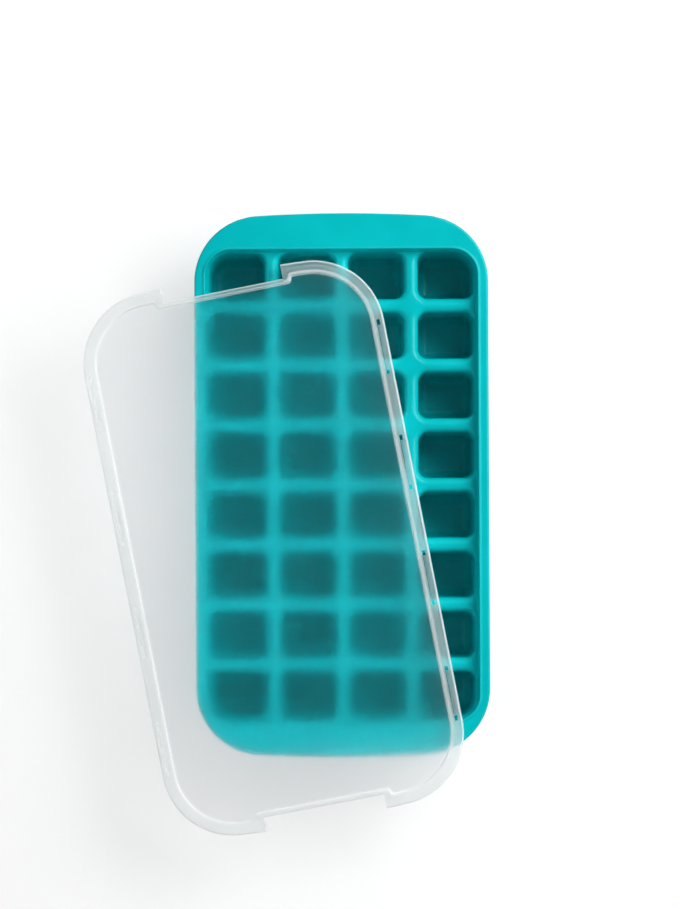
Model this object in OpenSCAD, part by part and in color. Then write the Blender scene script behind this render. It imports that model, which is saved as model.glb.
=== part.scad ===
// Ice cube tray with a press-on lid.
// The soft tray hangs a grid of drafted cups below a sunken deck, inside a flat rim that widens
// into a flange at each short end. The stiff lid is a flat panel inside a raised hollow band, with
// a skirt that drops outside the tray's rim, catches along both long sides and a grip notch at each
// short end. The lid is drawn where it is left after being taken off: turned askew on the tray,
// with its panel on the left rim and its skirt on the lower right corner.
// Millimetres. The origin is the middle of the tray, on the plane that it stands on: +X runs across
// the tray, +Y along it and +Z up.

/* [Cups] */
// Number of cups across the tray
columns = 4; // [2:1:6]
// Number of cups along the tray
rows = 8; // [4:1:12]
// Width of a cup's mouth, across the tray
cup_w = 22.9; // [18:0.1:28]
// Length of a cup's mouth, along the tray
cup_l = 18.8; // [16:0.2:26]
// Depth of a cup, from the deck to its floor
cup_d = 29; // [22:0.5:34]
// Corner radius of a cup's mouth
cup_r = 4; // [3.5:0.25:6]
// How far the grid's outer corners draw in, beyond the end ledge, from the sunken wall's round corner
corner_in = 0.8; // [0.5:0.1:3]
// Lean of the cup walls from upright, in degrees
draft = 2.5; // [1:0.25:3]
// Width of the ribs between the cups, across the tray
rib_w = 5.6; // [5:0.1:9]
// Length of the ribs between the cups, along the tray
rib_l = 5.7; // [5:0.1:9]
// Rounding of the cup's mouth along the top of the ribs
crest_r = 2.2; // [0.6:0.1:2.2]
// Fillet around a cup's floor
floor_r = 2; // [0.6:0.1:3]
// Thickness of the cup walls
wall_t = 1.8; // [1.2:0.1:2]
// Thickness of the cup floors
floor_t = 2; // [1.2:0.1:4]
// Bevel around the outside of a cup's foot
foot_bevel = 1.5; // [0.4:0.1:2]

/* [Rim] */
// Depth of the deck below the top of the rim
sink = 5; // [4:0.25:8]
// Thickness of the deck
deck_t = 2; // [1.2:0.1:3]
// Ledge from the outer cups to the top of the sunken wall, on the long sides
side_ledge = 1.3; // [1:0.1:5]
// Ledge from the outer cups to the top of the sunken wall, at the short ends
end_ledge = 1; // [0.9:0.05:4]
// Run of the sunken wall from its top edge in to its foot
wall_run = 0.8; // [0.2:0.1:0.8]
// Corner radius of the sunken wall's top edge
recess_r = 10.5; // [9:0.5:13]
// Width of the rim along the long sides
side_rim = 4.5; // [4:0.1:8]
// Width of the flange at the short ends
end_flange = 14.9; // [12:0.1:22]
// Thickness of the rim and the flanges
rim_t = 2.8; // [2:0.1:4]
// Corner radius of the rim's outline
corner_r = 27; // [20:0.5:32]
// Radius of the slow outward curve of the short ends
end_r = 585; // [400:5:1200]

/* [Lid] */
// Gap between the tray's rim and the lid's skirt when the lid is on
fit = 0.4; // [0.2:0.05:0.8]
// Thickness of the skirt
skirt_t = 1.7; // [1.2:0.1:2.4]
// Width of the raised band, from the skirt's outer face
band_w = 5; // [4.6:0.1:7]
// Height of the raised band above the lid's seat on the rim
band_h = 2.9; // [2.4:0.1:4]
// Thickness of the band's roof
roof_t = 1.3; // [0.8:0.1:1.6]
// Thickness of the wall between the band and the panel, and of the walls round the grip notches
inner_t = 1.3; // [0.8:0.1:1.6]
// Thickness of the panel
panel_t = 1.3; // [0.8:0.1:2]
// Width of the grip notches
notch_w = 50; // [40:0.5:60]
// Depth of the grip notches from the middle of the lid's end
notch_d = 6.4; // [5.4:0.1:9]

/* [Catches] */
// Number of catches on each long side
catches = 4; // [2:1:6]
// Length of a catch and of the moulding slot above it
catch_l = 22.5; // [12:0.5:26]
// Reach of a catch in from the skirt
catch_reach = 1.2; // [0.6:0.1:1.4]
// Height of a catch
catch_h = 2; // [1.4:0.1:3]
// Height of the upright nose of a catch, above its sloping underside
catch_nose = 0.6; // [0.3:0.1:1.2]
// Gap between the rim's underside and a catch when the lid is on
catch_gap = 0.2; // [0.1:0.05:0.5]
// Width of the moulding slot above a catch
slot_w = 1.3; // [1:0.1:1.6]

/* [Lid on the tray] */
// Turn of the lid, in degrees
lid_turn = 10.8; // [7:0.2:15]
// Distance from the tray's left edge in to the middle of the upper grip notch
notch_in = 11.8; // [8:0.2:15]
// Gap from the recess's upper end to the lid's highest edge
lid_clear = 4.9; // [2:0.1:8]
// Gap where the lid rests on the tray
rest_gap = 0.2; // [0.1:0.05:0.3]

/* [Hidden] */
$fn = 64;
// Segments of a small fillet
fillet_steps = 3;
// Overlap that joins shapes of one moulding
lap = 0.5;
// Segments of a whole circle as slow as the short ends
slow_steps = 720;

pitch_w = cup_w + rib_w;
pitch_l = cup_l + rib_l;
recess_w = columns * pitch_w - rib_w + 2 * side_ledge;
recess_l = rows * pitch_l - rib_l + 2 * end_ledge;
tray_w = recess_w + 2 * side_rim;
tray_l = recess_l + 2 * end_flange;
grid_r = recess_r - end_ledge - corner_in;
deck_z = floor_t + cup_d;
deck_under_z = deck_z - deck_t;
tray_h = deck_z + sink;

// The rim's outline: each slow end curve meets the corners smoothly, this many degrees off its middle
end_swing = asin((tray_w / 2 - corner_r) / (end_r - corner_r));
corner_x = tray_w / 2 - corner_r;
corner_y = tray_l / 2 - end_r + (end_r - corner_r) * cos(end_swing);

// A cup's wall, as distances out from the mouth's edge
mouth_z = deck_z - crest_r;
floor_fillet = min(floor_r, cup_r - cup_d * tan(draft) - lap);
function inside(z) = (z - mouth_z) * tan(draft);
function outside(z) = inside(z) + wall_t / cos(draft);
fillet_centre = [inside(floor_t + floor_fillet) - floor_fillet / cos(draft), floor_t + floor_fillet];
shoulder = crest_r + lap;
cup_wall = concat(
  arc([crest_r, mouth_z], crest_r, 90, 180 - draft),
  arc(fillet_centre, floor_fillet, -draft, -90),
  [
    [fillet_centre[0], 0],
    [outside(0) - foot_bevel, 0],
    [outside(foot_bevel), foot_bevel],
    [outside(deck_under_z), deck_under_z],
    [shoulder, deck_under_z],
    [shoulder, deck_z]
  ]
);

// The lid's walls, as distances out from the tray's outline
skirt_out = fit + skirt_t;
band_in = skirt_out - band_w;
inner_out = band_in + inner_t;
lid_l = tray_l + 2 * skirt_out;
notch_y = lid_l / 2 - notch_d;
skirt_d = rim_t + catch_gap + catch_h;
catch_x = tray_w / 2 + fit;
catch_pitch = (2 * corner_y - catch_l) / (catches - 1);

// Where the askew lid lies. Its panel rests on the tray's left edge and its skirt on the flange at
// the recess's lower end, and the tilt follows from the two.
lid_x = notch_in - tray_w / 2 + notch_y * sin(lid_turn);
lid_reach = corner_x * sin(lid_turn) + corner_y * cos(lid_turn) + corner_r + skirt_out;
lid_y = recess_l / 2 - lid_clear - lid_reach;
catch_in = catch_x - catch_reach;
seat_along = (-recess_l / 2 - lid_y - catch_in * sin(lid_turn)) / cos(lid_turn);
seat_x = lid_x + catch_in * cos(lid_turn) - seat_along * sin(lid_turn);
lid_tilt = asin(skirt_d / (seat_x + tray_w / 2));
lid_z = tray_h + rest_gap + (lid_x + tray_w / 2) * tan(lid_tilt);

// Points along an arc, with the fillets' number of steps
function arc(centre, r, from, to) =
  [for (i = [0 : fillet_steps])
    let(a = from + (to - from) * i / fillet_steps) centre + r * [cos(a), sin(a)]];

// The same radius at all four corners
function corners(r) = [r, r, r, r];

// A cup's corner radii, anticlockwise from the upper right; the grid's outer corners are rounder
function cup_radii(column, row) = let(
    left = column == 0,
    right = column == columns - 1,
    low = row == 0,
    high = row == rows - 1
  )
  [for (outer = [right && high, left && high, left && low, right && low]) outer ? grid_r : cup_r];

// A rectangle with round corners, their radii given anticlockwise from the upper right
module rounded(w, l, radii) {
  for (side = [0 : 3]) rotate(90 * side) {
    out = (side % 2 == 0 ? w : l) / 2;
    end = (side % 2 == 0 ? l : w) / 2;
    r = radii[side];
    translate([-lap, -lap]) square([out + lap, end - r + lap]);
    translate([-lap, -lap]) square([out - r + lap, end + lap]);
    translate([out - r, end - r]) circle(r);
  }
}

// The tray's outline, grown outwards by a distance
module outline(grow) {
  square([tray_w + 2 * grow, 2 * corner_y], center = true);
  for (x = [-1, 1], y = [-1, 1])
    translate([x * corner_x, y * corner_y]) circle(corner_r + grow);
  intersection() {
    square([2 * (end_r + grow) * sin(end_swing), tray_l + 2 * grow], center = true);
    translate([0, tray_l / 2 - end_r]) circle(end_r + grow, $fn = slow_steps);
    translate([0, end_r - tray_l / 2]) circle(end_r + grow, $fn = slow_steps);
  }
}

// A wall section carried round such a rectangle; the section's x runs outwards
module wall_round(w, l, radii) {
  for (side = [0 : 3]) rotate([0, 0, 90 * side]) {
    out = (side % 2 == 0 ? w : l) / 2;
    end = (side % 2 == 0 ? l : w) / 2;
    r = radii[side];
    run = 2 * end - r - radii[(side + 3) % 4];
    translate([out, end - r, 0]) rotate([90, 0, 0]) linear_extrude(run) children();
    translate([out - r, end - r, 0]) rotate_extrude(angle = 90) translate([r, 0]) children();
  }
}

// Its children at the place of every cup, which they know by $column and $row
module each_cup() {
  for ($column = [0 : columns - 1], $row = [0 : rows - 1])
    translate([($column - (columns - 1) / 2) * pitch_w, ($row - (rows - 1) / 2) * pitch_l, 0]) children();
}

// One cup, from its foot to the rounded mouth
module cup(radii) {
  floor_grow = fillet_centre[0] + lap;
  wall_round(cup_w, cup_l, radii) polygon(cup_wall);
  linear_extrude(floor_t)
    rounded(cup_w + 2 * floor_grow, cup_l + 2 * floor_grow, [for (r = radii) r + floor_grow]);
}

// The deck that the cups hang from
module deck() {
  deck_grow = lap - wall_run;
  mouth_grow = crest_r + lap / 2;
  translate([0, 0, deck_under_z]) linear_extrude(deck_t) difference() {
    rounded(recess_w + 2 * deck_grow, recess_l + 2 * deck_grow, corners(recess_r + deck_grow));
    each_cup() rounded(
      cup_w + 2 * mouth_grow,
      cup_l + 2 * mouth_grow,
      [for (r = cup_radii($column, $row)) r + mouth_grow]
    );
  }
}

// The sloping wall from the deck up to the rim
module sunken_wall() {
  wall_round(recess_w, recess_l, corners(recess_r)) polygon([
    [0, tray_h],
    [-wall_run, deck_z],
    [-wall_run, deck_under_z],
    [wall_t, deck_under_z],
    [wall_t, tray_h]
  ]);
}

// The flat rim with its end flanges
module rim() {
  translate([0, 0, tray_h - rim_t]) linear_extrude(rim_t) difference() {
    outline(0);
    rounded(recess_w + wall_t, recess_l + wall_t, corners(recess_r + wall_t / 2));
  }
}

module tray() {
  color([0, 0.72, 0.74]) {
    rim();
    sunken_wall();
    deck();
    each_cup() cup(cup_radii($column, $row));
  }
}

// The part of the lid's plan that a grip notch takes away
module notch_plan() {
  for (end = [0, 1]) mirror([0, end, 0])
    translate([-notch_w / 2, notch_y]) square([notch_w, 2 * notch_d]);
}

// The hollow band: skirt, roof and inner wall, round the whole lid
module band() {
  translate([0, 0, -skirt_d]) linear_extrude(skirt_d + band_h) difference() {
    outline(skirt_out);
    outline(fit);
    notch_plan();
  }
  translate([0, 0, band_h - roof_t]) linear_extrude(roof_t) difference() {
    outline(skirt_out);
    outline(band_in);
    notch_plan();
  }
  linear_extrude(band_h) difference() {
    outline(inner_out);
    outline(band_in);
    notch_plan();
  }
}

// The flat panel that closes the tray
module panel() {
  linear_extrude(panel_t) difference() {
    outline(inner_out);
    notch_plan();
  }
}

// The upright walls along a grip notch and across the band's ends beside it
module notch_walls() {
  linear_extrude(band_h) for (end = [0, 1]) mirror([0, end, 0]) intersection() {
    outline(skirt_out);
    translate([-notch_w / 2 - inner_t, notch_y - inner_t]) difference() {
      square([notch_w + 2 * inner_t, 2 * notch_d]);
      translate([inner_t, inner_t]) square([notch_w, 2 * notch_d]);
    }
  }
}

// Its children at the place of every catch, with x running in from the skirt's inner face
module each_catch() {
  for (side = [0, 1], i = [0 : catches - 1]) mirror([side, 0, 0])
    translate([catch_x, (i - (catches - 1) / 2) * catch_pitch, 0]) children();
}

// One catch: flat on top to hold under the rim, sloped below to ride over it
module catch_hook() {
  rotate([90, 0, 0]) linear_extrude(catch_l, center = true) polygon([
    [lap, catch_h - skirt_d],
    [-catch_reach, catch_h - skirt_d],
    [-catch_reach, catch_h - catch_nose - skirt_d],
    [0, -skirt_d],
    [lap, -skirt_d]
  ]);
}

// The lid by itself, seated on the plane of the rim
module lid_shape() {
  difference() {
    union() {
      band();
      panel();
      notch_walls();
      each_catch() catch_hook();
    }
    each_catch() translate([-slot_w, -catch_l / 2, 0]) cube([slot_w, catch_l, 2 * band_h]);
  }
}

module lid() {
  color([0.9, 0.93, 0.95, 0.6])
    translate([lid_x, lid_y, lid_z]) rotate([0, -lid_tilt, 0]) rotate([0, 0, lid_turn]) lid_shape();
}

tray();
lid();
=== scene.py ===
import math

import bmesh
import bpy
from mathutils import Matrix, Vector


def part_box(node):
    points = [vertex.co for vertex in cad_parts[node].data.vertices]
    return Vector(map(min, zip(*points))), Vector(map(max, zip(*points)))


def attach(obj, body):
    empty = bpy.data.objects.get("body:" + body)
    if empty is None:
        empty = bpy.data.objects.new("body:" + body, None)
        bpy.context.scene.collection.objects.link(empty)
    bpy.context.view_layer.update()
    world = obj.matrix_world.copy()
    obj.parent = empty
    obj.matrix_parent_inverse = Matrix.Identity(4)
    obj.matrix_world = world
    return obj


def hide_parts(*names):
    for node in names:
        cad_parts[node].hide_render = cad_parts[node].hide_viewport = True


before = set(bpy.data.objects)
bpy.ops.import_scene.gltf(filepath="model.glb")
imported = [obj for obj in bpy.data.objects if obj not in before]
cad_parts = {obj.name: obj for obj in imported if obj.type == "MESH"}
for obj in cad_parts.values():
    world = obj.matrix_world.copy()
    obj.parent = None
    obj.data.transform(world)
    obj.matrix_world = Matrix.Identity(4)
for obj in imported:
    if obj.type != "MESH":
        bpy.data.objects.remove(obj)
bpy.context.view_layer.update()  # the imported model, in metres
print("frame loaded:", ", ".join(sorted(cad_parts)))

mm = 0.001
scene = bpy.context.scene
scene.view_settings.view_transform = "Standard"
trayLow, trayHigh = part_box("tray")
traySize = (trayHigh - trayLow) / mm


# Camera, straight above the tray as in the photograph

shot = {
    "imageSize": (680, 909),
    "axisPixel": (330.0, 560.0),  # where the lens axis meets the picture
    "trayPixel": (342.3, 485.0),  # the middle of the tray's rim in the picture
    "height": 1.38,  # above the rim, metres
    "lens": 134.0,
    "sensor": 36.0,
    "roll": -0.3,  # degrees
    "farthest": 20.0,
}


def makeCamera():
    wide, tall = shot["imageSize"]
    focal = shot["lens"] / shot["sensor"] * max(wide, tall)
    offX = shot["trayPixel"][0] - shot["axisPixel"][0]
    offY = shot["axisPixel"][1] - shot["trayPixel"][1]
    roll = Matrix.Rotation(math.radians(shot["roll"]), 3, "Z")
    data = bpy.data.cameras.new("overhead")
    data.lens = shot["lens"]
    data.sensor_width = shot["sensor"]
    data.shift_x = (wide / 2 - shot["axisPixel"][0]) / max(wide, tall)
    data.shift_y = (shot["axisPixel"][1] - tall / 2) / max(wide, tall)
    data.clip_end = shot["farthest"]
    made = bpy.data.objects.new("overhead", data)
    made.location = roll @ Vector((-offX, -offY, 0)) * (shot["height"] / focal)
    made.location.z = trayHigh.z + shot["height"]
    made.rotation_euler.z = math.radians(shot["roll"])
    scene.collection.objects.link(made)
    scene.camera = made


makeCamera()
print("camera set")


# Mesh helpers, in millimetres until the mesh is written

mergeAt = 0.002
angleSlack = 1e-6


def bridge(bm, first, second, closed=True):
    count = len(first)
    for i in range(count if closed else count - 1):
        j = (i + 1) % count
        corners = [first[i], first[j], second[j], second[i]]
        if len(set(corners)) > 2:
            bm.faces.new(list(dict.fromkeys(corners)))


def newRing(bm, points):
    return [bm.verts.new(p) for p in points]


def tidyMesh(bm):
    bmesh.ops.remove_doubles(bm, verts=bm.verts, dist=mergeAt)
    bmesh.ops.dissolve_degenerate(bm, edges=bm.edges, dist=mergeAt)
    bmesh.ops.recalc_face_normals(bm, faces=bm.faces)


def openEdges(bm):
    return sum(1 for e in bm.edges if len(e.link_faces) != 2)


def makePiece(bm, name, place, sharpAt):
    bmesh.ops.transform(bm, matrix=place @ Matrix.Scale(mm, 4), verts=bm.verts)
    mesh = bpy.data.meshes.new(name)
    bm.to_mesh(mesh)
    bm.free()
    mesh.polygons.foreach_set("use_smooth", [True] * len(mesh.polygons))
    mesh.set_sharp_from_angle(angle=math.radians(sharpAt))
    made = bpy.data.objects.new(name, mesh)
    scene.collection.objects.link(made)
    return made


# The rim's outline, which the tray and the lid share

rim = {
    "cornerRadius": 27.0,
    "endRadius": 585.0,  # slow outward curve of the short ends
}
halfWidth = traySize.x / 2
halfLength = traySize.y / 2
cornerX = halfWidth - rim["cornerRadius"]
endSwing = math.asin(cornerX / (rim["endRadius"] - rim["cornerRadius"]))
endCentre = halfLength - rim["endRadius"]
cornerY = endCentre + (rim["endRadius"] - rim["cornerRadius"]) * math.cos(endSwing)


def endY(x, grow):
    return endCentre + math.sqrt((rim["endRadius"] + grow) ** 2 - x * x)


def outlineAt(x, y, grow):
    # the outline's point outward of a point inside it, grown by a distance
    ax, ay = abs(x), abs(y)
    if ax > cornerX and ay > cornerY:
        way = Vector((ax - cornerX, ay - cornerY)).normalized()
        reach = rim["cornerRadius"] + grow
        if way.x < math.sin(endSwing):
            along = cornerX * way.x + (cornerY - endCentre) * way.y
            short = cornerX ** 2 + (cornerY - endCentre) ** 2 - (rim["endRadius"] + grow) ** 2
            reach = -along + math.sqrt(along ** 2 - short)
        found = (cornerX + reach * way.x, cornerY + reach * way.y)
    elif ay > cornerY or halfLength - ay < halfWidth - ax:
        found = (ax, endY(ax, grow))
    else:
        found = (halfWidth + grow, ay)
    return math.copysign(found[0], x), math.copysign(found[1], y)


# Silicone tray

tray = {
    "columns": 4,
    "rows": 8,
    "cupWidth": 22.9,
    "cupLength": 18.8,
    "cupRadius": 4.0,
    "outerRadius": 8.7,  # outer corner of the four corner cups
    "ribWidth": 5.6,
    "ribLength": 5.7,
    "sink": 5.0,  # deck below the rim
    "deck": 2.0,
    "floor": 2.0,
    "draft": 2.5,  # degrees
    "crestAcross": 2.75,  # rounding along the top of the ribs
    "crestDown": 2.9,
    "floorFillet": 3.4,
    "wall": 1.8,
    "underFillet": 0.3,
    "footRound": 1.5,
    "sideLedge": 1.3,  # outer cups to the top of the sunken wall
    "endLedge": 1.0,
    "wallRun": 0.8,
    "recessRadius": 10.5,
    "rimThick": 2.8,
    "beadRound": 0.45,  # low bead round the inner edge of the rim
    "beadSlope": 0.9,
    "beadRise": 0.6,
    "beadFall": 1.0,
    "rimOuterRound": 1.0,
    "rimUnderRound": 0.7,
    "underSlope": 0.4,
    "leastRadius": 0.12,  # at which a shrinking corner starts to move in
    "crestRoom": 0.97,  # share of a rib's half that its rounding may take
    "wallBow": 0.15,  # share of the sunken wall's run in its soft foot, and in its shoulder
    "wallEase": 0.6,  # height of each
    "wallLevels": (0.33, 0.66, 1.0),  # rings down a cup's inside
    "flatLead": 0.3,  # narrow strips that keep the flats flat beside a rounding
    "floorLead": 0.4,
    "underLead": 0.5,
    "seekReach": 40.0,  # longest way from a cup to the sunken wall
    "seekSteps": 48,
    "arcSteps": 10,
    "sideSteps": 4,
    "roundSteps": 6,
    "underSteps": 3,
    "footSteps": 4,
    "sharpAt": 38,  # degrees
}
pitchX = tray["cupWidth"] + tray["ribWidth"]
pitchY = tray["cupLength"] + tray["ribLength"]
recessX = (tray["columns"] * pitchX - tray["ribWidth"]) / 2 + tray["sideLedge"]
recessY = (tray["rows"] * pitchY - tray["ribLength"]) / 2 + tray["endLedge"]
rimTop = traySize.z
rimFlat = rimTop - tray["beadRise"]
deckTop = rimTop - tray["sink"]
deckUnder = deckTop - tray["deck"]
mouthZ = deckTop - tray["crestDown"]


def roundedReach(x, y, wayX, wayY, grow):
    # from inside the recess along a direction to its outline, grown by a distance
    radius = tray["recessRadius"] + grow
    flatX, flatY = recessX + grow - radius, recessY + grow - radius
    low, high = 0.0, tray["seekReach"]
    for _ in range(tray["seekSteps"]):
        mid = (low + high) / 2
        overX = max(abs(x + wayX * mid) - flatX, 0)
        overY = max(abs(y + wayY * mid) - flatY, 0)
        if math.hypot(overX, overY) < radius:
            low = mid
        else:
            high = mid
    return x + wayX * low, y + wayY * low


def recessNormal(x, y):
    flatX, flatY = recessX - tray["recessRadius"], recessY - tray["recessRadius"]
    way = Vector((max(abs(x) - flatX, 0), max(abs(y) - flatY, 0))).normalized()
    return math.copysign(way.x, x), math.copysign(way.y, y)


def cupSamples(outerSides):
    # points round a cup's mouth as base, direction and corner radius, anticlockwise from the right side
    halfX, halfY = tray["cupWidth"] / 2, tray["cupLength"] / 2
    signs = [(1, 1), (-1, 1), (-1, -1), (1, -1)]
    ways = [(1, 0), (0, 1), (-1, 0), (0, -1)]
    outer = [outerSides[0 if sx < 0 else 1] and outerSides[2 if sy < 0 else 3] for sx, sy in signs]
    radii = [tray["outerRadius"] if o else tray["cupRadius"] for o in outer]
    samples = []
    for side in range(4):
        sx, sy = signs[side]
        wx, wy = ways[side]
        r, last = radii[side], radii[side - 1]
        half = halfY if wx else halfX
        for i in range(tray["sideSteps"]):
            t = i / tray["sideSteps"]
            along = (last - half) * (1 - t) + (half - r) * t
            samples.append({
                "x": wx * halfX - wy * along, "y": wy * halfY + wx * along, "r": 0.0,
                "wayX": wx, "wayY": wy, "corner": None,
            })
        for i in range(tray["arcSteps"]):
            t = i / tray["arcSteps"]
            angle = math.pi / 2 * (t if sx * sy > 0 else 1 - t)
            samples.append({
                "x": sx * (halfX - r), "y": sy * (halfY - r), "r": r,
                "wayX": sx * math.cos(angle), "wayY": sy * math.sin(angle),
                "corner": (sx, sy), "angle": angle, "outer": outer[side],
            })
    return samples


def tileEdge(sample, centre, lines, outerSides, grow):
    # where a cup's sample meets the middle of its ribs or the sunken wall,
    # whether that is the wall, and whether the cup's own wall carries on into it
    x, y = centre[0] + sample["x"], centre[1] + sample["y"]
    wx, wy = sample["wayX"], sample["wayY"]
    if sample["corner"] is None:
        side = {(-1, 0): 0, (1, 0): 1, (0, -1): 2, (0, 1): 3}[(wx, wy)]
        if outerSides[side]:
            return roundedReach(x, y, wx, wy, grow), True, True
        return ((lines[side], y) if wx else (x, lines[side])), False, False
    if sample["outer"]:
        return roundedReach(x, y, wx, wy, grow), True, True
    sx, sy = sample["corner"]
    sideX, sideY = (0 if sx < 0 else 1), (2 if sy < 0 else 3)
    lineX, lineY = lines[sideX], lines[sideY]
    diagonal = sample["angle"] - math.pi / 4
    if diagonal <= angleSlack:
        atWall = outerSides[sideX] or (abs(diagonal) < angleSlack and outerSides[sideY])
        return (lineX, y + (lineY - y) * math.tan(sample["angle"])), atWall, False
    return (x + (lineX - x) / math.tan(sample["angle"]), lineY), outerSides[sideY], False


def cupRing(samples, centre, grows, z):
    # grows: how far out on the left, right, lower and upper side
    least = tray["leastRadius"]
    points = []
    for s in samples:
        x, y = centre[0] + s["x"], centre[1] + s["y"]
        outX = s["r"] + grows[0 if s["wayX"] < 0 else 1]
        outY = s["r"] + grows[2 if s["wayY"] < 0 else 3]
        if s["corner"]:
            x += s["corner"][0] * min(outX - least, 0)
            y += s["corner"][1] * min(outY - least, 0)
            outX, outY = max(outX, least), max(outY, least)
        points.append((x + s["wayX"] * outX, y + s["wayY"] * outY, z))
    return points


def crestRing(samples, edges, centre, rooms, outerSides, angle):
    # a ring of the ribs' rounding; beside the sunken wall it carries the cup's own wall on up
    rise = math.cos(angle)
    grows = []
    for room, walled in zip(rooms, outerSides):
        across = min(tray["crestAcross"], tray["crestRoom"] * room)
        grows.append(room * rise if walled else across * (1 - math.sin(angle)))
    level = mouthZ + tray["crestDown"] * rise
    ring = cupRing(samples, centre, grows, level)
    mouth = cupRing(samples, centre, [0.0] * 4, level)
    for i, (point, _, carried) in enumerate(edges):
        if carried:
            x, y, _ = mouth[i]
            ring[i] = (x + (point[0] - x) * rise, y + (point[1] - y) * rise, level)
    return ring


def wallIn(z):
    return (z - mouthZ) * math.tan(math.radians(tray["draft"]))


def wallOut(z):
    return wallIn(z) + tray["wall"] / math.cos(math.radians(tray["draft"]))


def quarter(steps, first=0):
    return [math.pi / 2 * i / steps for i in range(first, steps + 1)]


def cupInside():
    # a cup's inside below its mouth: how far out and height
    fillet = tray["floorFillet"]
    filletTop = tray["floor"] + fillet
    levels = [mouthZ + (filletTop - mouthZ) * share for share in tray["wallLevels"]]
    rings = [(wallIn(z), z) for z in levels]
    foot = wallIn(filletTop)
    for angle in quarter(tray["roundSteps"], 1):
        rings.append((foot - fillet * (1 - math.cos(angle)), filletTop - fillet * math.sin(angle)))
    rings.append((foot - fillet - tray["floorLead"], tray["floor"]))
    return rings


def cupUnder():
    # a cup's outside, from the deck's underside down to the foot
    fillet, foot = tray["underFillet"], tray["footRound"]
    start = wallOut(deckUnder - fillet)
    rings = []
    for angle in quarter(tray["underSteps"]):
        rings.append((start + fillet * (1 - math.sin(angle)), deckUnder - fillet * (1 - math.cos(angle))))
    rings.append((wallOut(deckUnder / 2), deckUnder / 2))
    for angle in quarter(tray["footSteps"]):
        rings.append((wallOut(foot) - foot * (1 - math.cos(angle)), foot * (1 - math.sin(angle))))
    return rings


def rimRun(foot, under):
    # from the deck up the sunken wall, over the bead and the rim and back under to the deck's underside
    nx, ny = recessNormal(*foot)
    run, bead, steps = tray["wallRun"], tray["beadRound"], tray["roundSteps"]
    outer, low, slope = tray["rimOuterRound"], tray["rimUnderRound"], tray["underSlope"]
    bow, ease = tray["wallBow"], tray["wallEase"]
    flat, lead = tray["flatLead"], tray["underLead"]
    underTop = rimTop - tray["rimThick"]
    points = []

    def fromFoot(grow, z):
        points.append((foot[0] + nx * grow, foot[1] + ny * grow, z))

    def fromOutline(grow, z):
        points.append((*outlineAt(foot[0] + nx * run, foot[1] + ny * run, grow), z))

    def fromUnder(grow, z):
        points.append((under[0] + nx * grow, under[1] + ny * grow, z))

    fromFoot(0.0, deckTop)
    fromFoot(run * bow, deckTop + ease)
    fromFoot(run * (1 - bow), rimTop - tray["beadFall"] - ease)
    for angle in quarter(steps):
        fromFoot(run + bead * (1 - math.cos(angle)), rimTop - tray["beadFall"] * (1 - math.sin(angle)))
    for i in range(1, steps + 1):
        t = i / steps
        drop = tray["beadRise"] * (1 - math.cos(math.pi * t)) / 2
        fromFoot(run + bead + tray["beadSlope"] * t, rimTop - drop)
    fromFoot(run + bead + tray["beadSlope"] + flat, rimFlat)
    fromOutline(-outer - flat, rimFlat)
    for angle in quarter(steps):
        fromOutline(-outer * (1 - math.sin(angle)), rimFlat - outer * (1 - math.cos(angle)))
    for angle in quarter(tray["underSteps"]):
        fromOutline(-low * (1 - math.cos(angle)), underTop + low * (1 - math.sin(angle)))
    fromUnder(slope + lead, underTop)
    fromUnder(slope, underTop - lead)
    fromUnder(slope, deckUnder + slope)
    fromUnder(slope / 2, deckUnder + slope / 4)
    fromUnder(0.0, deckUnder)
    return points


def cupTile(bm, column, row, border):
    # one cup with its share of the ribs, inside and outside
    centre = (
        (column - (tray["columns"] - 1) / 2) * pitchX,
        (row - (tray["rows"] - 1) / 2) * pitchY,
    )
    outerSides = (column == 0, column == tray["columns"] - 1, row == 0, row == tray["rows"] - 1)
    samples = cupSamples(outerSides)
    for under in (False, True):
        grow = tray["wall"] - tray["underSlope"] if under else -tray["wallRun"]
        lines = (
            -recessX - grow if outerSides[0] else centre[0] - pitchX / 2,
            recessX + grow if outerSides[1] else centre[0] + pitchX / 2,
            -recessY - grow if outerSides[2] else centre[1] - pitchY / 2,
            recessY + grow if outerSides[3] else centre[1] + pitchY / 2,
        )
        edges = [tileEdge(s, centre, lines, outerSides, grow) for s in samples]
        for i, (point, atWall, _) in enumerate(edges):
            if atWall:
                border.setdefault((column, row, i), [None, None])[under] = point
        rooms = [abs(lines[side] - centre[0]) - tray["cupWidth"] / 2 for side in (0, 1)]
        rooms += [abs(lines[side] - centre[1]) - tray["cupLength"] / 2 for side in (2, 3)]
        rings = [[(x, y, deckUnder if under else deckTop) for (x, y), _, _ in edges]]
        if not under:
            crest = quarter(tray["roundSteps"])
            rings += [crestRing(samples, edges, centre, rooms, outerSides, a) for a in crest]
        profile = cupUnder() if under else cupInside()
        rings += [cupRing(samples, centre, [out] * 4, level) for out, level in profile]
        made = [newRing(bm, ring) for ring in rings]
        for a, b in zip(made, made[1:]):
            bridge(bm, a, b)
        bm.faces.new(made[-1])


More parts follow.
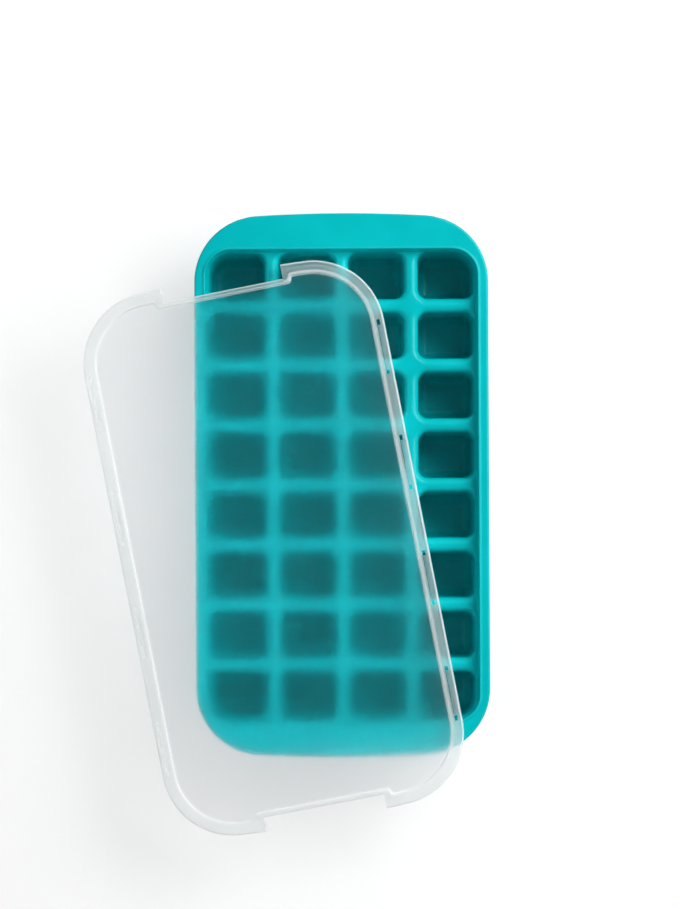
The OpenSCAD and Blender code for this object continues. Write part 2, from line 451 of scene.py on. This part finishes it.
def makeTray():
    bm = bmesh.new()
    border = {}
    for column in range(tray["columns"]):
        for row in range(tray["rows"]):
            cupTile(bm, column, row, border)
    pairs = sorted(border.values(), key=lambda pair: math.atan2(pair[0][1], pair[0][0]))
    kept = [pairs[0]]
    for pair in pairs[1:]:
        if math.dist(pair[0], kept[-1][0]) > mergeAt:
            kept.append(pair)
    runs = [newRing(bm, rimRun(foot, under)) for foot, under in kept]
    for a, b in zip(runs, runs[1:] + runs[:1]):
        bridge(bm, a, b, closed=False)
    tidyMesh(bm)
    print("tray mesh:", len(bm.faces), "faces,", openEdges(bm), "open edges")
    return makePiece(bm, "silicone_tray", Matrix.Identity(4), tray["sharpAt"])


trayPiece = makeTray()
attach(trayPiece, "tray")
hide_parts("tray")


# Press-on lid

lid = {
    "fit": 0.4,  # rim to skirt when the lid is on
    "skirt": 1.7,
    "bandWidth": 5.0,
    "bandHeight": 2.9,  # above the seat on the rim
    "roof": 1.3,
    "inner": 1.3,  # wall between the band and the panel
    "panel": 1.3,
    "notchWidth": 50.0,
    "notchDepth": 6.4,
    "notchWall": 2.0,
    "catches": 4,  # on each long side
    "slotLength": 22.5,
    "slotWidth": 1.3,
    "catchLength": 18.7,
    "catchReach": 1.2,
    "catchHeight": 2.0,
    "catchNose": 0.6,
    "catchEase": 0.05,  # tiny bevels on the catch and in the hollow
    "hollowEase": 0.1,
    "catchGap": 0.2,
    "outerRound": 0.7,
    "innerRound": 0.45,
    "notchRound": 0.65,
    "edgeRound": 0.3,
    "panelEdge": 1.2,  # strip of the panel that follows the band
    "bendStart": 29.4,  # where the inner wall starts its bend towards the notch
    "bendSteps": 12,
    "cornerSteps": 24,
    "sharpAt": 38,  # degrees
}
lidRest = {
    "turn": 10.8,  # degrees
    "notchIn": 11.8,  # tray's left edge to the middle of the upper notch
    "clear": 4.9,  # recess's upper end to the lid's highest edge
    "gap": 0.2,  # where it rests on the tray
}
skirtOut = lid["fit"] + lid["skirt"]
bandIn = skirtOut - lid["bandWidth"]
wallOutside = bandIn + lid["inner"]
notchY = halfLength + skirtOut - lid["notchDepth"]
skirtDrop = tray["rimThick"] + lid["catchGap"] + lid["catchHeight"]
nearShare, midShare, farShare = 0.08, 0.3, 0.62  # points of a quarter round, per radius


def lidProfile(hooked=False, solid=False):
    # from the panel's top out over the band, down the skirt and back under to the panel's underside
    top, panel = lid["bandHeight"], lid["panel"]
    big, small, edge = lid["outerRound"], lid["innerRound"], lid["edgeRound"]
    fit, drop, ease = lid["fit"], skirtDrop, lid["hollowEase"]
    slotIn = fit - lid["slotWidth"]
    hook = fit - lid["catchReach"] if hooked else fit
    ceiling = 0.0 if solid else top - lid["roof"]
    hookTop = lid["catchHeight"] - drop
    return [
        (bandIn - lid["panelEdge"], panel),
        (bandIn - small, panel),
        (bandIn - midShare * small, panel + midShare * small),
        (bandIn, panel + small),
        (bandIn, top - small),
        (bandIn + midShare * small, top - midShare * small),
        (bandIn + small, top),
        (wallOutside, top),
        (slotIn, top),
        (fit, top),
        (skirtOut - big, top),
        (skirtOut - farShare * big, top - nearShare * big),
        (skirtOut - midShare * big, top - midShare * big),
        (skirtOut - nearShare * big, top - farShare * big),
        (skirtOut, top - big),
        (skirtOut, edge - drop),
        (skirtOut - midShare * edge, midShare * edge - drop),
        (skirtOut - edge, -drop),
        (fit + edge, -drop),
        (fit, edge - drop),
        (hook, hookTop - lid["catchNose"]),
        (hook, hookTop - lid["catchEase"]),
        (fit, hookTop),
        (fit, ceiling),
        (slotIn, ceiling),
        (wallOutside, ceiling),
        (wallOutside, 0.0 if solid else ease),
        (wallOutside - ease, 0.0),
        (bandIn - lid["panelEdge"], 0.0),
    ]


# places in the profile
slotTop = 8  # first of the two points across a slot, on the band's top
outerTop = 10
outerSide = 14
slotUnder = 23  # and in the hollow under it
wallUnder = 25
panelUnder = 27


def sideStation(y, hooked=False):
    return [(halfWidth + u, y, z) for u, z in lidProfile(hooked)]


def cornerStation(angle):
    c, s = math.cos(angle), math.sin(angle)
    reach = rim["cornerRadius"]
    return [(cornerX + (reach + u) * c, cornerY + (reach + u) * s, z) for u, z in lidProfile()]


def cheekStation(x):
    # solid end of the band beside the notch
    points = []
    for u, z in lidProfile(solid=True):
        y = endY(x, u)
        if u <= wallOutside:
            y = notchY - lid["notchWall"] + (u - bandIn)
        points.append((x, y, z))
    return points


def bendStation(share):
    # the inner wall's bend from the band to the notch, two arcs after each other
    first = (lid["bendStart"], endY(lid["bendStart"], bandIn))
    second = (lid["notchWidth"] / 2 + lid["inner"], notchY - lid["notchWall"])
    rx, ry = (first[0] - second[0]) / 2, (first[1] - second[1]) / 2
    c, s = math.cos(math.pi * share), math.sin(math.pi * share)
    if share <= 0.5:
        x, y = first[0] - rx * s, first[1] - ry * (1 - c)
    else:
        x, y = second[0] + rx * s, second[1] + ry * (1 + c)
    out = Vector((-ry * s, rx * abs(c))).normalized()
    alongX = first[0] + (second[0] - first[0]) * share
    points = []
    for u, z in lidProfile():
        if u <= wallOutside:
            points.append((x + out.x * (u - bandIn), y + out.y * (u - bandIn), z))
        else:
            points.append((alongX, endY(alongX, u), z))
    return points


def notchStation(x):
    inner, top, small = notchY - lid["notchWall"], lid["bandHeight"], lid["notchRound"]
    points = []
    for i, (u, z) in enumerate(lidProfile(solid=True)):
        if i < slotTop - 2:
            y = inner + (u - bandIn)
        elif i == slotTop - 2:
            y, z = inner + small, top
        elif i <= outerTop:
            y, z = notchY - small, top
        elif i < outerSide:
            y, z = notchY - midShare * small, top - midShare * small
        elif i == outerSide:
            y, z = notchY, top - small
        elif i < wallUnder:
            y, z = notchY, 0.0
        else:
            y, z = min(inner + (u - bandIn), notchY), 0.0
        points.append((x, y, z))
    return points


def slotStations(middle):
    # a slot along the band's top with its catch below, which is shorter
    slotHalf, catchHalf = lid["slotLength"] / 2, lid["catchLength"] / 2
    return [
        (sideStation(middle - slotHalf), True),
        (sideStation(middle - catchHalf), True),
        (sideStation(middle - catchHalf, True), True),
        (sideStation(middle + catchHalf, True), True),
        (sideStation(middle + catchHalf), True),
        (sideStation(middle + slotHalf), False),
    ]


def quarterStations():
    # from the middle of the lid's right side to the middle of its upper end, each with its slot mark
    pitch = (2 * cornerY - lid["slotLength"]) / (lid["catches"] - 1)
    stations = [(sideStation(0.0), False)]
    for i in range(lid["catches"]):
        middle = (i - (lid["catches"] - 1) / 2) * pitch
        if middle > 0:
            stations += slotStations(middle)
    for i in range(1, lid["cornerSteps"] + 1):
        angle = (math.pi / 2 - endSwing) * i / lid["cornerSteps"]
        stations.append((cornerStation(angle), False))
    cheek = lid["notchWidth"] / 2
    for i in range(lid["bendSteps"] + 1):
        stations.append((bendStation(i / lid["bendSteps"]), False))
    stations.append((cheekStation(cheek + lid["inner"]), False))
    stations.append((cheekStation(cheek), False))
    stations.append((notchStation(cheek), False))
    stations.append((notchStation(0.0), False))
    return stations


def mirrored(stations, sx, sy):
    # the same stations in the other order, seen in a mirror; a slot's mark moves to its other end
    points = [[(x * sx, y * sy, z) for x, y, z in ring] for ring, _ in reversed(stations)]
    marks = [mark for _, mark in reversed(stations[:-1])] + [False]
    return list(zip(points, marks))


def allStations():
    first = quarterStations()
    half = first + mirrored(first, -1, 1)
    return half + mirrored(half, 1, -1)


lidFinishes = ["panel", "under", "edge", "roof"]  # material slots of the lid's mesh


def finishAt(i, notched=False):
    # which finish the profile's stretch after a point has
    if i == 0:
        return lidFinishes.index("panel")
    if i >= panelUnder:
        return lidFinishes.index("under")
    innerEdge = i < slotTop - (2 if notched else 1)
    if innerEdge or outerTop <= i < outerSide:
        return lidFinishes.index("edge")
    return lidFinishes.index("roof")


def makeLid():
    bm = bmesh.new()
    stations = allStations()
    rings = [newRing(bm, points) for points, _ in stations]
    last = len(rings[0]) - 1

    def addFace(corners, finish):
        bm.faces.new(corners).material_index = finish

    for s, (_, slotted) in enumerate(stations):
        here, there = rings[s], rings[(s + 1) % len(rings)]
        skip = (slotTop, slotUnder) if slotted else ()
        notched = max(abs(here[0].co.x), abs(there[0].co.x)) < lid["notchWidth"] / 2 + mergeAt
        for i in range(last):
            if i not in skip:
                addFace((here[i], there[i], there[i + 1], here[i + 1]), finishAt(i, notched))
        if slotted:
            a, b, finish = slotTop, slotUnder, finishAt(slotTop)
            addFace((here[a], there[a], there[b + 1], here[b + 1]), finish)
            addFace((there[a + 1], here[a + 1], here[b], there[b]), finish)
            if not stations[s - 1][1]:
                addFace((here[a], here[b + 1], here[b], here[a + 1]), finish)
            if not stations[(s + 1) % len(stations)][1]:
                addFace((there[a], there[a + 1], there[b], there[b + 1]), finish)
    addFace([ring[0] for ring in rings], finishAt(0))
    addFace([ring[last] for ring in reversed(rings)], finishAt(last))
    tidyMesh(bm)
    print("lid mesh:", len(bm.faces), "faces,", openEdges(bm), "open edges")
    return bm


def lidPlace():
    # where the lid lies after it was taken off, from its contacts with the tray
    turn = math.radians(lidRest["turn"])
    x = lidRest["notchIn"] - halfWidth + notchY * math.sin(turn)
    reach = cornerX * math.sin(turn) + cornerY * math.cos(turn) + rim["cornerRadius"] + skirtOut
    y = recessY - lidRest["clear"] - reach
    catchIn = halfWidth + lid["fit"] - lid["catchReach"]
    along = (-recessY - y - catchIn * math.sin(turn)) / math.cos(turn)
    seatX = x + catchIn * math.cos(turn) - along * math.sin(turn)
    tilt = math.asin(skirtDrop / (seatX + halfWidth))
    z = rimTop + lidRest["gap"] + (x + halfWidth) * math.tan(tilt)
    place = Matrix.Translation(Vector((x, y, z)) * mm)
    return place @ Matrix.Rotation(-tilt, 4, "Y") @ Matrix.Rotation(turn, 4, "Z")


lidPiece = makePiece(makeLid(), "frosted_lid", lidPlace(), lid["sharpAt"])
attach(lidPiece, "lid")
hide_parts("lid")


# Materials

looks = {
    "silicone": {
        "pale": (0.0, 0.5, 0.53, 1.0),
        "deep": (0.0, 0.46, 0.49, 1.0),
        "grain": 2200.0,  # per metre
        "cloud": 45.0,
        "smooth": 0.19,
        "rough": 0.26,
        "bump": 0.1,
        "bumpDepth": 0.00008,
        "shine": 0.14,
    },
    "panel": {
        "pale": (0.945, 0.945, 0.955, 1.0),
        "deep": (0.925, 0.93, 0.94, 1.0),
        "grain": 1500.0,
        "cloud": 30.0,
        "smooth": 0.66,
        "rough": 0.76,
        "bump": 0.06,
        "bumpDepth": 0.00005,
        "clear": 1.0,
        "index": 1.22,
        "gleam": (0.3, 0.3, 0.3, 1.0),
        "haze": 0.0,
        "shade": (0.12, 0.13, 0.13, 1.0),
    },
    "edge": {
        "pale": (0.975, 0.985, 0.985, 1.0),
        "deep": (0.96, 0.97, 0.97, 1.0),
        "grain": 900.0,
        "cloud": 60.0,
        "smooth": 0.38,
        "rough": 0.46,
        "bump": 0.02,
        "bumpDepth": 0.00005,
        "clear": 0.46,
        "index": 1.3,
        "gleam": (1.0, 1.0, 1.0, 1.0),
        "haze": 0.12,
        "shade": (0.2, 0.21, 0.21, 1.0),
    },
}
looks["under"] = {**looks["panel"], "haze": 0.28}  # the panel's lower face scatters
looks["roof"] = {  # the band between its edges, clearer than they are
    **looks["edge"],
    "clear": 0.93,
    "index": 1.2,
    "haze": 0.25,
    "shade": (0.24, 0.25, 0.25, 1.0),
}
mould = {
    "grainDetail": 3.0,
    "cloudDetail": 2.0,
    "roughSpan": (0.3, 0.7),  # clouds over which the roughness runs from smooth to rough
    "tintSpan": (0.35, 0.65),  # and the colour from deep to pale
}


def grainGroup():
    # fine grain of the mould for the bump, and slow clouds for the tint and the roughness
    group = bpy.data.node_groups.new("mouldGrain", "ShaderNodeTree")
    for name in ("Grain Scale", "Cloud Scale", "Smooth", "Rough"):
        group.interface.new_socket(name=name, in_out="INPUT", socket_type="NodeSocketFloat")
    for name in ("Height", "Cloud", "Roughness"):
        group.interface.new_socket(name=name, in_out="OUTPUT", socket_type="NodeSocketFloat")
    nodes, links = group.nodes, group.links
    given = nodes.new("NodeGroupInput")
    result = nodes.new("NodeGroupOutput")
    where = nodes.new("ShaderNodeTexCoord")
    grain = nodes.new("ShaderNodeTexNoise")
    grain.inputs["Detail"].default_value = mould["grainDetail"]
    cloud = nodes.new("ShaderNodeTexNoise")
    cloud.inputs["Detail"].default_value = mould["cloudDetail"]
    spread = nodes.new("ShaderNodeMapRange")
    spread.inputs["From Min"].default_value = mould["roughSpan"][0]
    spread.inputs["From Max"].default_value = mould["roughSpan"][1]
    for noise, scale in ((grain, "Grain Scale"), (cloud, "Cloud Scale")):
        links.new(where.outputs["Object"], noise.inputs["Vector"])
        links.new(given.outputs[scale], noise.inputs["Scale"])
    links.new(cloud.outputs["Fac"], spread.inputs["Value"])
    links.new(given.outputs["Smooth"], spread.inputs["To Min"])
    links.new(given.outputs["Rough"], spread.inputs["To Max"])
    links.new(grain.outputs["Fac"], result.inputs["Height"])
    links.new(cloud.outputs["Fac"], result.inputs["Cloud"])
    links.new(spread.outputs["Result"], result.inputs["Roughness"])
    return group


mouldGrain = grainGroup()


def mouldedMaterial(name, look):
    made = bpy.data.materials.new(name)
    made.use_nodes = True
    nodes, links = made.node_tree.nodes, made.node_tree.links
    nodes.clear()
    out = nodes.new("ShaderNodeOutputMaterial")
    shader = nodes.new("ShaderNodeBsdfPrincipled")
    grain = nodes.new("ShaderNodeGroup")
    grain.node_tree = mouldGrain
    grain.inputs["Grain Scale"].default_value = look["grain"]
    grain.inputs["Cloud Scale"].default_value = look["cloud"]
    grain.inputs["Smooth"].default_value = look["smooth"]
    grain.inputs["Rough"].default_value = look["rough"]
    tint = nodes.new("ShaderNodeValToRGB")
    ends = (look["deep"], look["pale"])
    for stop, place, colour in zip(tint.color_ramp.elements, mould["tintSpan"], ends):
        stop.position = place
        stop.color = colour
    bump = nodes.new("ShaderNodeBump")
    bump.inputs["Strength"].default_value = look["bump"]
    bump.inputs["Distance"].default_value = look["bumpDepth"]
    links.new(grain.outputs["Cloud"], tint.inputs["Fac"])
    links.new(tint.outputs["Color"], shader.inputs["Base Color"])
    links.new(grain.outputs["Roughness"], shader.inputs["Roughness"])
    links.new(grain.outputs["Height"], bump.inputs["Height"])
    links.new(bump.outputs["Normal"], shader.inputs["Normal"])
    links.new(shader.outputs["BSDF"], out.inputs["Surface"])
    return made, shader, out


def siliconeMaterial():
    look = looks["silicone"]
    made, shader, _ = mouldedMaterial("turquoise_silicone", look)
    shader.inputs["Specular IOR Level"].default_value = look["shine"]
    return made


def plasticMaterial(finish):
    look = looks[finish]
    made, shader, out = mouldedMaterial("lid_" + finish, look)
    shader.inputs["Transmission Weight"].default_value = look["clear"]
    shader.inputs["IOR"].default_value = look["index"]
    shader.inputs["Specular Tint"].default_value = look["gleam"]
    nodes, links = made.node_tree.nodes, made.node_tree.links
    surface = shader
    if look["haze"]:
        scatter = nodes.new("ShaderNodeBsdfTranslucent")
        scatter.inputs["Color"].default_value = look["pale"]
        surface = nodes.new("ShaderNodeMixShader")
        surface.inputs["Fac"].default_value = look["haze"]
        links.new(shader.outputs["BSDF"], surface.inputs[1])
        links.new(scatter.outputs["BSDF"], surface.inputs[2])
    through = nodes.new("ShaderNodeBsdfTransparent")  # the lamps shine through thin plastic
    through.inputs["Color"].default_value = look["shade"]
    path = nodes.new("ShaderNodeLightPath")
    both = nodes.new("ShaderNodeMixShader")
    links.new(path.outputs["Is Shadow Ray"], both.inputs["Fac"])
    links.new(surface.outputs[0], both.inputs[1])
    links.new(through.outputs["BSDF"], both.inputs[2])
    links.new(both.outputs["Shader"], out.inputs["Surface"])
    return made


trayPiece.data.materials.append(siliconeMaterial())
for finish in lidFinishes:
    lidPiece.data.materials.append(plasticMaterial(finish))
print("materials set")


# Floor, lamps and world

studio = {
    "floorHalf": 4.0,
    "floorDrop": 0.0002,  # below the feet
    "floorColour": (0.48, 0.48, 0.48, 1.0),
    "glowNear": 0.57,  # white that the camera and the lid see, but that lights nothing
    "glowFar": 0.94,  # where the lamps no longer reach
    "nearEnds": 0.3,
    "farStarts": 1.3,
    "ambient": 0.2,
    "horizon": (1.0, 1.0, 1.0, 1.0),
    "zenith": (0.08, 0.08, 0.08, 1.0),
}


def seenMask(nodes, links):
    # 1 for the rays that show the background, 0 for those that light the object
    path = nodes.new("ShaderNodeLightPath")
    mask = path.outputs["Is Camera Ray"]
    for name in ("Is Glossy Ray", "Is Transmission Ray"):
        larger = nodes.new("ShaderNodeMath")
        larger.operation = "MAXIMUM"
        links.new(mask, larger.inputs[0])
        links.new(path.outputs[name], larger.inputs[1])
        mask = larger.outputs["Value"]
    return mask


def makeFloor():
    half = studio["floorHalf"]
    mesh = bpy.data.meshes.new("floor")
    corners = [(-half, -half, 0), (half, -half, 0), (half, half, 0), (-half, half, 0)]
    mesh.from_pydata(corners, [], [(0, 1, 2, 3)])
    made = bpy.data.objects.new("floor", mesh)
    made.location.z = -studio["floorDrop"]
    scene.collection.objects.link(made)
    material = bpy.data.materials.new("white_floor")
    material.use_nodes = True
    nodes, links = material.node_tree.nodes, material.node_tree.links
    nodes.clear()
    out = nodes.new("ShaderNodeOutputMaterial")
    diffuse = nodes.new("ShaderNodeBsdfDiffuse")
    diffuse.inputs["Color"].default_value = studio["floorColour"]
    where = nodes.new("ShaderNodeTexCoord")
    away = nodes.new("ShaderNodeVectorMath")
    away.operation = "LENGTH"
    spread = nodes.new("ShaderNodeMapRange")
    spread.inputs["From Min"].default_value = studio["nearEnds"]
    spread.inputs["From Max"].default_value = studio["farStarts"]
    spread.inputs["To Min"].default_value = studio["glowNear"]
    spread.inputs["To Max"].default_value = studio["glowFar"]
    level = nodes.new("ShaderNodeMath")
    level.operation = "MULTIPLY"
    glow = nodes.new("ShaderNodeEmission")
    both = nodes.new("ShaderNodeAddShader")
    links.new(where.outputs["Object"], away.inputs[0])
    links.new(away.outputs["Value"], spread.inputs["Value"])
    links.new(seenMask(nodes, links), level.inputs[0])
    links.new(spread.outputs["Result"], level.inputs[1])
    links.new(level.outputs["Value"], glow.inputs["Strength"])
    links.new(diffuse.outputs["BSDF"], both.inputs[0])
    links.new(glow.outputs["Emission"], both.inputs[1])
    links.new(both.outputs["Shader"], out.inputs["Surface"])
    mesh.materials.append(material)


lamps = {
    # azimuth from +X towards +Y and elevation in degrees, distance and size in metres, power in watts
    "main": {"azimuth": 50, "elevation": 49, "distance": 1.2, "size": 0.6, "power": 6.0},
    "side": {"azimuth": 20, "elevation": 41, "distance": 0.8, "size": 0.5, "power": 4.7},
    "fill": {"azimuth": 190, "elevation": 30, "distance": 1.0, "size": 0.8, "power": 2.0},
}


def makeLamps():
    for name, lamp in lamps.items():
        data = bpy.data.lights.new(name, "AREA")
        data.energy = lamp["power"]
        data.size = lamp["size"]
        made = bpy.data.objects.new(name, data)
        turn = Matrix.Rotation(math.radians(lamp["azimuth"]), 3, "Z")
        rise = Matrix.Rotation(-math.radians(lamp["elevation"]), 3, "Y")
        made.location = turn @ rise @ Vector((lamp["distance"], 0, 0))
        made.rotation_euler = (-made.location).to_track_quat("-Z", "Y").to_euler()
        scene.collection.objects.link(made)


def makeWorld():
    # even light, and a white studio with a dark ceiling for what is seen or mirrored
    world = bpy.data.worlds.new("studio")
    scene.world = world
    world.use_nodes = True
    nodes, links = world.node_tree.nodes, world.node_tree.links
    nodes.clear()
    out = nodes.new("ShaderNodeOutputWorld")
    where = nodes.new("ShaderNodeTexCoord")
    split = nodes.new("ShaderNodeSeparateXYZ")
    shade = nodes.new("ShaderNodeValToRGB")
    shade.color_ramp.elements[0].color = studio["horizon"]
    shade.color_ramp.elements[1].color = studio["zenith"]
    lighting = nodes.new("ShaderNodeBackground")
    lighting.inputs["Color"].default_value = studio["horizon"]
    lighting.inputs["Strength"].default_value = studio["ambient"]
    seen = nodes.new("ShaderNodeBackground")
    both = nodes.new("ShaderNodeMixShader")
    links.new(where.outputs["Generated"], split.inputs["Vector"])
    links.new(split.outputs["Z"], shade.inputs["Fac"])
    links.new(shade.outputs["Color"], seen.inputs["Color"])
    links.new(seenMask(nodes, links), both.inputs["Fac"])
    links.new(lighting.outputs["Background"], both.inputs[1])
    links.new(seen.outputs["Background"], both.inputs[2])
    links.new(both.outputs["Shader"], out.inputs["Surface"])


makeFloor()
makeLamps()
makeWorld()
print("studio set")
